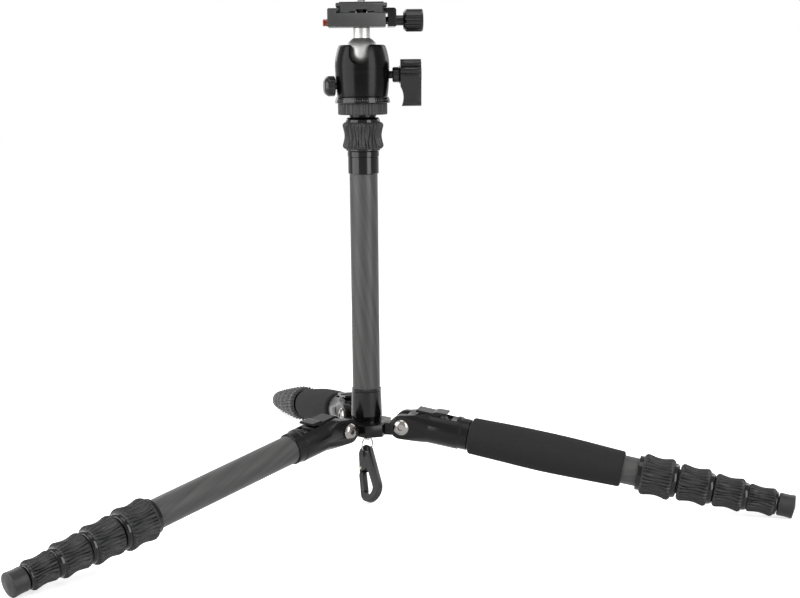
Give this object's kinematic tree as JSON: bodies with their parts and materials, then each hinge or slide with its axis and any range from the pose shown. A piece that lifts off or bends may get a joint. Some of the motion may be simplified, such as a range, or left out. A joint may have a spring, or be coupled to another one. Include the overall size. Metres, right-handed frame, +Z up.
{
  "type": "travel tripod with ball head",
  "caption": "Folding five-section carbon tripod with a ball head, a quick-release clamp and plate, and a hanging ring and clip; it stands low with its legs spread.",
  "frame": {"origin": "middle of the three feet's footprint box, on the floor", "axes": "+Z up along the column and the camera screw; +X towards the clamp knob and the main lock knob; the dovetail and the plate's slide run along Y"},
  "size_m": [0.5678, 0.5678, 0.3966],
  "materials": {
    "carbon": "satin woven carbon",
    "black_anodised": "satin black anodised",
    "gloss_black": "gloss black anodised",
    "dark_grey": "fine bead-blasted dark grey",
    "rubber": "matte ribbed rubber",
    "foam": "matte closed-cell foam",
    "silver": "satin silver",
    "chrome": "polished",
    "wire": "polished wire",
    "copper_red": "copper-red anodised",
    "black_plastic": "moulded black plastic"
  },
  "bodies": {
    "hub": {"spider": "black_anodised", "hinge_bolts": "chrome", "column_ferrule": "gloss_black", "column_outer_tube": "carbon", "column_collar": "gloss_black", "hook_stud": "silver"},
    "column_lock_ring": {"column_lock": "rubber"},
    "column": {"column_inner_tube": "carbon", "head_platform": "rubber", "head_base_ring": "gloss_black"},
    "housing": {"head_housing": "gloss_black"},
    "main_knob": {"main_knob": "black_anodised"},
    "pan_knob": {"pan_knob": "black_anodised"},
    "ball": {"ball": "silver"},
    "stem": {"ball_stem": "silver"},
    "clamp": {"clamp_body": "dark_grey"},
    "jaw": {"clamp_jaw": "black_anodised"},
    "clamp_knob": {"clamp_knob": "black_anodised"},
    "safety_button": {"safety_button": "copper_red"},
    "plate": {"quick_release_plate": "dark_grey", "plate_pad": "rubber"},
    "camera_screw": {"camera_screw": "silver"},
    "ring": {"split_ring": "wire"},
    "clip": {"clip_body": "black_plastic"},
    "clip_gate": {"clip_gate": "black_plastic"},
    "left_leg": {"left_leg_casting": "black_anodised", "left_section_1": "carbon"},
    "left_latch": {"left_angle_latch": "black_anodised"},
    "left_lock_1": {"left_lock_1": "rubber"},
    "left_section_2": {"left_section_2": "carbon"},
    "left_lock_2": {"left_lock_2": "rubber"},
    "left_section_3": {"left_section_3": "carbon"},
    "left_lock_3": {"left_lock_3": "rubber"},
    "left_section_4": {"left_section_4": "carbon"},
    "left_lock_4": {"left_lock_4": "rubber"},
    "left_section_5": {"left_section_5": "carbon"},
    "right_leg": {"right_leg_casting": "black_anodised", "right_section_1": "carbon", "right_foam_grip": "foam"},
    "right_latch": {"right_angle_latch": "black_anodised"},
    "right_lock_1": {"right_lock_1": "rubber"},
    "right_section_2": {"right_section_2": "carbon"},
    "right_lock_2": {"right_lock_2": "rubber"},
    "right_section_3": {"right_section_3": "carbon"},
    "right_lock_3": {"right_lock_3": "rubber"},
    "right_section_4": {"right_section_4": "carbon"},
    "right_lock_4": {"right_lock_4": "rubber"},
    "right_section_5": {"right_section_5": "carbon"},
    "rear_leg": {"rear_leg_casting": "black_anodised", "rear_section_1": "carbon", "rear_foam_grip": "foam"},
    "rear_latch": {"rear_angle_latch": "black_anodised"},
    "rear_lock_1": {"rear_lock_1": "rubber"},
    "rear_section_2": {"rear_section_2": "carbon"},
    "rear_lock_2": {"rear_lock_2": "rubber"},
    "rear_section_3": {"rear_section_3": "carbon"},
    "rear_lock_3": {"rear_lock_3": "rubber"},
    "rear_section_4": {"rear_section_4": "carbon"},
    "rear_lock_4": {"rear_lock_4": "rubber"},
    "rear_section_5": {"rear_section_5": "carbon"}
  },
  "joints": [
    {"name": "left_leg_fold", "type": "hinge", "parent": "hub", "child": "left_leg", "pos_m": [-0.06328, -0.06328, 0.05942], "axis": [-0.7071, 0.7071, 0], "range_deg": [-80, 92]},
    {"name": "left_latch_pull", "type": "slide", "parent": "left_leg", "child": "left_latch", "axis": [-0.6964, -0.6964, -0.1736], "range_m": [0, 0.005], "stiffness_N_per_m": 500},
    {"name": "left_lock_1_turn", "type": "hinge", "parent": "left_leg", "child": "left_lock_1", "pos_m": [-0.20498, -0.20498, 0.02692], "axis": [-0.6964, -0.6964, -0.1736], "range_deg": [0, 90]},
    {"name": "left_section_2_slide", "type": "slide", "parent": "left_leg", "child": "left_section_2", "axis": [-0.6964, -0.6964, -0.1736], "range_m": [0, 0.12]},
    {"name": "left_lock_2_turn", "type": "hinge", "parent": "left_section_2", "child": "left_lock_2", "pos_m": [-0.22462, -0.22462, 0.02203], "axis": [-0.6964, -0.6964, -0.1736], "range_deg": [0, 90]},
    {"name": "left_section_3_slide", "type": "slide", "parent": "left_section_2", "child": "left_section_3", "axis": [-0.6964, -0.6964, -0.1736], "range_m": [0, 0.14]},
    {"name": "left_lock_3_turn", "type": "hinge", "parent": "left_section_3", "child": "left_lock_3", "pos_m": [-0.24321, -0.24321, 0.01739], "axis": [-0.6964, -0.6964, -0.1736], "range_deg": [0, 90]},
    {"name": "left_section_4_slide", "type": "slide", "parent": "left_section_3", "child": "left_section_4", "axis": [-0.6964, -0.6964, -0.1736], "range_m": [0, 0.16]},
    {"name": "left_lock_4_turn", "type": "hinge", "parent": "left_section_4", "child": "left_lock_4", "pos_m": [-0.26042, -0.26042, 0.0131], "axis": [-0.6964, -0.6964, -0.1736], "range_deg": [0, 90]},
    {"name": "left_section_5_slide", "type": "slide", "parent": "left_section_4", "child": "left_section_5", "axis": [-0.6964, -0.6964, -0.1736], "range_m": [0, 0.18]},
    {"name": "right_leg_fold", "type": "hinge", "parent": "hub", "child": "right_leg", "pos_m": [-0.01141, -0.04938, 0.05942], "axis": [-0.2588, -0.9659, 0], "range_deg": [-80, 92]},
    {"name": "right_latch_pull", "type": "slide", "parent": "right_leg", "child": "right_latch", "axis": [0.9513, -0.2549, -0.1736], "range_m": [0, 0.005], "stiffness_N_per_m": 500},
    {"name": "right_lock_1_turn", "type": "hinge", "parent": "right_leg", "child": "right_lock_1", "pos_m": [0.18216, -0.10125, 0.02692], "axis": [0.9513, -0.2549, -0.1736], "range_deg": [0, 90]},
    {"name": "right_section_2_slide", "type": "slide", "parent": "right_leg", "child": "right_section_2", "axis": [0.9513, -0.2549, -0.1736], "range_m": [0, 0.12]},
    {"name": "right_lock_2_turn", "type": "hinge", "parent": "right_section_2", "child": "right_lock_2", "pos_m": [0.20899, -0.10844, 0.02203], "axis": [0.9513, -0.2549, -0.1736], "range_deg": [0, 90]},
    {"name": "right_section_3_slide", "type": "slide", "parent": "right_section_2", "child": "right_section_3", "axis": [0.9513, -0.2549, -0.1736], "range_m": [0, 0.14]},
    {"name": "right_lock_3_turn", "type": "hinge", "parent": "right_section_3", "child": "right_lock_3", "pos_m": [0.23438, -0.11524, 0.01739], "axis": [0.9513, -0.2549, -0.1736], "range_deg": [0, 90]},
    {"name": "right_section_4_slide", "type": "slide", "parent": "right_section_3", "child": "right_section_4", "axis": [0.9513, -0.2549, -0.1736], "range_m": [0, 0.16]},
    {"name": "right_lock_4_turn", "type": "hinge", "parent": "right_section_4", "child": "right_lock_4", "pos_m": [0.25788, -0.12154, 0.0131], "axis": [0.9513, -0.2549, -0.1736], "range_deg": [0, 90]},
    {"name": "right_section_5_slide", "type": "slide", "parent": "right_section_4", "child": "right_section_5", "axis": [0.9513, -0.2549, -0.1736], "range_m": [0, 0.18]},
    {"name": "rear_leg_fold", "type": "hinge", "parent": "hub", "child": "rear_leg", "pos_m": [-0.04938, -0.01141, 0.05942], "axis": [0.9659, 0.2588, 0], "range_deg": [-80, 92]},
    {"name": "rear_latch_pull", "type": "slide", "parent": "rear_leg", "child": "rear_latch", "axis": [-0.2549, 0.9513, -0.1736], "range_m": [0, 0.005], "stiffness_N_per_m": 500},
    {"name": "rear_lock_1_turn", "type": "hinge", "parent": "rear_leg", "child": "rear_lock_1", "pos_m": [-0.10125, 0.18216, 0.02692], "axis": [-0.2549, 0.9513, -0.1736], "range_deg": [0, 90]},
    {"name": "rear_section_2_slide", "type": "slide", "parent": "rear_leg", "child": "rear_section_2", "axis": [-0.2549, 0.9513, -0.1736], "range_m": [0, 0.12]},
    {"name": "rear_lock_2_turn", "type": "hinge", "parent": "rear_section_2", "child": "rear_lock_2", "pos_m": [-0.10844, 0.20899, 0.02203], "axis": [-0.2549, 0.9513, -0.1736], "range_deg": [0, 90]},
    {"name": "rear_section_3_slide", "type": "slide", "parent": "rear_section_2", "child": "rear_section_3", "axis": [-0.2549, 0.9513, -0.1736], "range_m": [0, 0.14]},
    {"name": "rear_lock_3_turn", "type": "hinge", "parent": "rear_section_3", "child": "rear_lock_3", "pos_m": [-0.11524, 0.23438, 0.01739], "axis": [-0.2549, 0.9513, -0.1736], "range_deg": [0, 90]},
    {"name": "rear_section_4_slide", "type": "slide", "parent": "rear_section_3", "child": "rear_section_4", "axis": [-0.2549, 0.9513, -0.1736], "range_m": [0, 0.16]},
    {"name": "rear_lock_4_turn", "type": "hinge", "parent": "rear_section_4", "child": "rear_lock_4", "pos_m": [-0.12154, 0.25788, 0.0131], "axis": [-0.2549, 0.9513, -0.1736], "range_deg": [0, 90]},
    {"name": "rear_section_5_slide", "type": "slide", "parent": "rear_section_4", "child": "rear_section_5", "axis": [-0.2549, 0.9513, -0.1736], "range_m": [0, 0.18]},
    {"name": "column_lock_turn", "type": "hinge", "parent": "hub", "child": "column_lock_ring", "pos_m": [-0.04136, -0.04136, 0.29022], "axis": [0, 0, 1], "range_deg": [0, 90]},
    {"name": "column_rise", "type": "slide", "parent": "hub", "child": "column", "axis": [0, 0, 1], "range_m": [0, 0.15]},
    {"name": "head_pan", "type": "hinge", "parent": "column", "child": "housing", "pos_m": [-0.04136, -0.04136, 0.31922], "axis": [0, 0, 1], "continuous": true},
    {"name": "main_knob_turn", "type": "hinge", "parent": "housing", "child": "main_knob", "pos_m": [-0.01136, -0.04136, 0.33582], "axis": [1, 0, 0], "range_deg": [0, 180]},
    {"name": "pan_knob_turn", "type": "hinge", "parent": "housing", "child": "pan_knob", "pos_m": [-0.06696, -0.04587, 0.32752], "axis": [-0.9848, -0.1736, 0], "range_deg": [0, 180]},
    {"name": "ball_side_tilt", "type": "hinge", "parent": "housing", "child": "ball", "pos_m": [-0.04136, -0.04136, 0.35232], "axis": [-0.1392, -0.9903, 0], "range_deg": [-20, 20]},
    {"name": "ball_notch_tilt", "type": "hinge", "parent": "ball", "child": "stem", "pos_m": [-0.04136, -0.04136, 0.35232], "axis": [0.9903, -0.1392, 0], "range_deg": [-20, 80]},
    {"name": "clamp_spin", "type": "hinge", "parent": "stem", "child": "clamp", "pos_m": [-0.04136, -0.04136, 0.37242], "axis": [0, 0, 1], "continuous": true},
    {"name": "jaw_slide", "type": "slide", "parent": "clamp", "child": "jaw", "axis": [1, 0, 0], "range_m": [0, 0.0051]},
    {"name": "clamp_knob_turn", "type": "hinge", "parent": "jaw", "child": "clamp_knob", "pos_m": [-0.00136, -0.04136, 0.37732], "axis": [1, 0, 0], "range_deg": [0, 900]},
    {"name": "button_press", "type": "slide", "parent": "clamp", "child": "safety_button", "axis": [1, 0, 0], "range_m": [0, 0.002], "stiffness_N_per_m": 400},
    {"name": "plate_slide", "type": "slide", "parent": "clamp", "child": "plate", "axis": [0, -1, 0], "range_m": [0, 0.045]},
    {"name": "camera_screw_turn", "type": "hinge", "parent": "plate", "child": "camera_screw", "pos_m": [-0.04136, -0.04136, 0.39032], "axis": [0, 0, 1], "continuous": true},
    {"name": "ring_swing", "type": "hinge", "parent": "hub", "child": "ring", "pos_m": [-0.04136, -0.04136, 0.04732], "axis": [-0.7071, -0.7071, 0], "range_deg": [-15, 40]},
    {"name": "clip_swing", "type": "hinge", "parent": "ring", "child": "clip", "pos_m": [-0.04136, -0.04136, 0.03532], "axis": [-0.9945, -0.1045, 0], "range_deg": [-44.56, 0]},
    {"name": "gate_open", "type": "hinge", "parent": "clip", "child": "clip_gate", "pos_m": [-0.04505, -0.047, 0.0225], "axis": [-0.726, -0.5272, 0.4416], "range_deg": [0, 18], "stiffness_Nm_per_rad": 0.02}
  ],
  "couplings": [
    {"joint": "jaw_slide", "follows": "clamp_knob_turn", "m_per_rad": 0.00031831}
  ]
}
